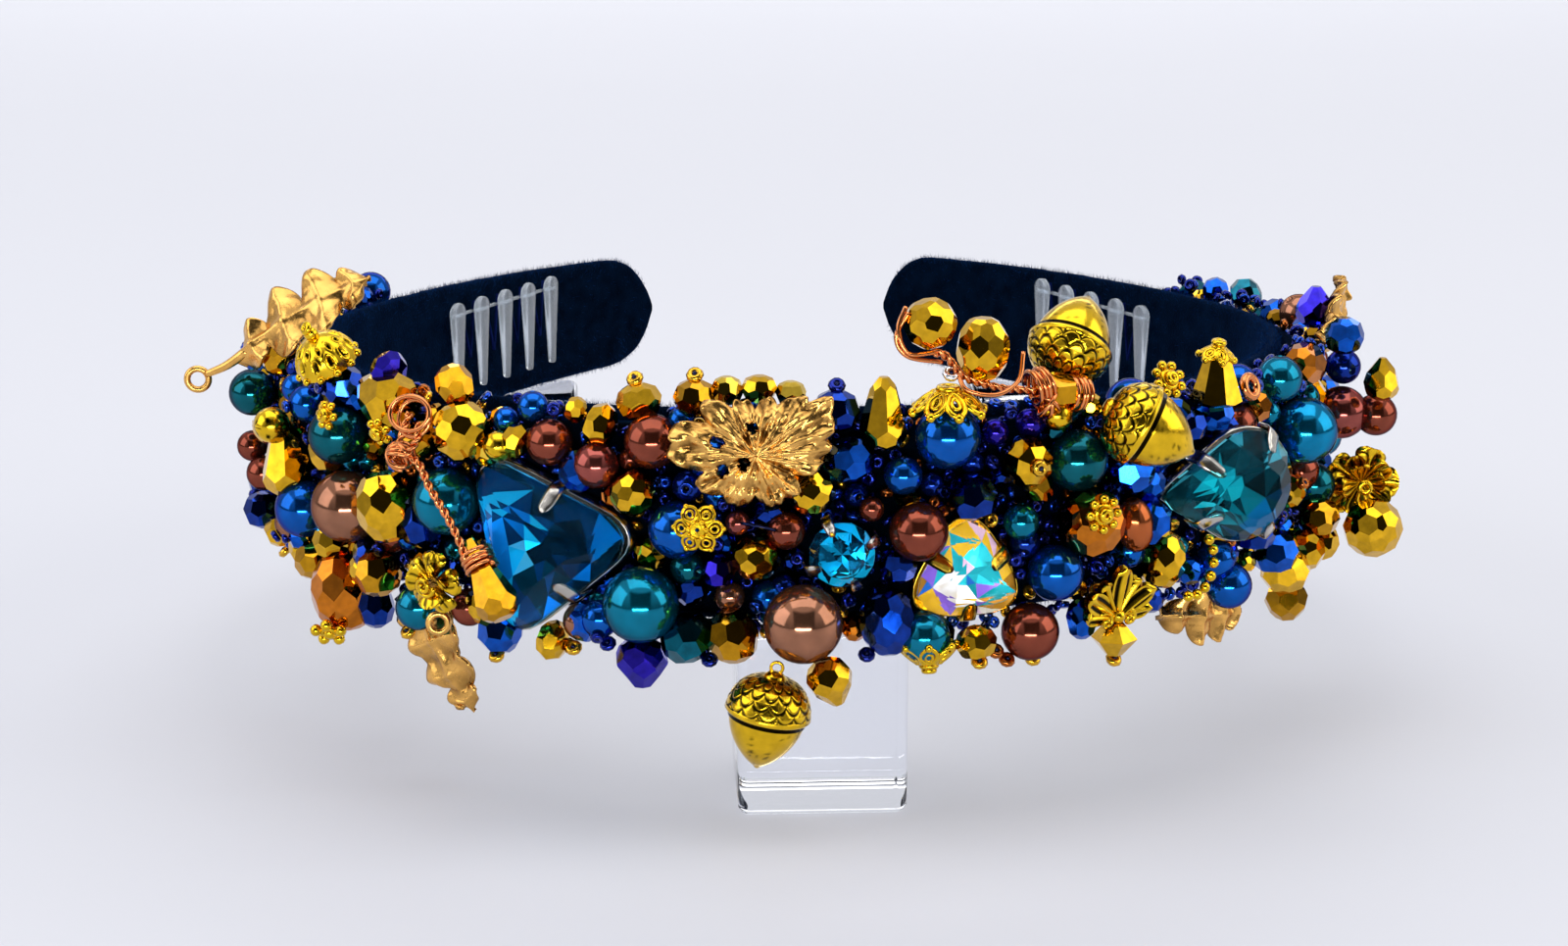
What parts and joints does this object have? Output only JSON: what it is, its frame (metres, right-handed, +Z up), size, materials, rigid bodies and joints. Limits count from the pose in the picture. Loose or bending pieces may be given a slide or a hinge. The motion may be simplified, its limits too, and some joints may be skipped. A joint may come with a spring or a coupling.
{
  "type": "tiara on clear block stands",
  "caption": "Velvet headband tiara sewn all over with pearls, faceted beads, set stones, leaves and acorn charms, resting level on clear blocks and open at the back.",
  "frame": {"origin": "middle of the front stand block's underside", "axes": "+Z up, -Y towards the viewer the front of the band faces, +X to that viewer's right"},
  "size_m": [0.1709, 0.1754, 0.0692],
  "materials": {
    "velvet": "deep navy velvet pile with a blue grazing sheen",
    "comb_plastic": "clear moulded comb",
    "acrylic": "clear polished acrylic",
    "seed_beads": "navy glass beads",
    "pearl_teal": "pearl-coated glass, satin gloss",
    "pearl_green": "pearl-coated glass, satin gloss",
    "pearl_blue": "pearl-coated glass, satin gloss",
    "pearl_bronze": "pearl-coated glass, satin gloss",
    "pearl_brown": "pearl-coated glass, satin gloss",
    "bead_blue": "cut glass, polished",
    "bead_gold": "cut glass with a mirror metal coat",
    "bead_amber": "cut glass with a thin metal coat",
    "stone_teal": "cut glass with a foiled back",
    "stone_crystal": "cut glass with a rainbow coat",
    "setting_silver": "silver-coloured pressed metal",
    "brass_leaf": "raw stamped brass, satin",
    "antique_gold": "gilt casting with dark patina in its recesses",
    "copper_wire": "bright copper wire"
  },
  "bodies": {
    "root": {"velvet_band": "velvet", "comb_left": "comb_plastic", "comb_right": "comb_plastic", "stand_block_front": "acrylic", "stand_block_left": "acrylic", "stand_block_right": "acrylic", "bead_field_left": "seed_beads", "bead_field_right": "seed_beads", "pearl_teal_low": "pearl_teal", "pearl_teal_left": "pearl_teal", "pearl_sky_right": "pearl_teal", "pearl_green_left": "pearl_green", "pearl_green_right": "pearl_green", "pearl_blue_top": "pearl_blue", "pearl_blue_mid": "pearl_blue", "pearl_blue_left": "pearl_blue", "pearl_blue_right": "pearl_blue", "pearl_bronze_low": "pearl_bronze", "pearl_bronze_mid": "pearl_bronze", "pearl_bronze_left": "pearl_bronze", "pearl_mauve_far": "pearl_brown", "pearl_brown_top": "pearl_brown", "pearl_brown_small": "pearl_brown", "pearl_brown_low": "pearl_brown", "bead_blue_big": "bead_blue", "bead_gold_left_top": "bead_gold", "bead_gold_teardrop": "bead_gold", "bead_gold_oval_left": "bead_gold", "bead_gold_tear_top": "bead_gold", "bead_gold_front_left": "bead_gold", "bead_gold_front_top": "bead_gold", "bead_gold_front_mid": "bead_gold", "bead_gold_right": "bead_gold", "bead_gold_far": "bead_gold", "bead_amber_left": "bead_amber", "bead_amber_right": "bead_amber", "trilliant_stone": "stone_teal", "trilliant_setting": "setting_silver", "pear_stone": "stone_teal", "pear_setting": "setting_silver", "chaton_stone": "stone_teal", "chaton_setting": "setting_silver", "crystal_stone": "stone_crystal", "crystal_setting": "antique_gold", "leaf_centre": "brass_leaf", "leaf_upper_left": "brass_leaf", "leaf_lower_left": "brass_leaf", "leaf_lower_right": "brass_leaf", "leaf_upper_right": "brass_leaf", "acorn_pendant": "antique_gold", "acorn_upper": "antique_gold", "acorn_side": "antique_gold", "cap_top": "antique_gold", "cap_left": "antique_gold", "cap_low_left": "antique_gold", "flower_front": "antique_gold", "flower_right": "antique_gold", "palmette_right": "antique_gold", "wire_spray_left": "copper_wire", "wire_spray_right": "copper_wire"}
  },
  "joints": []
}
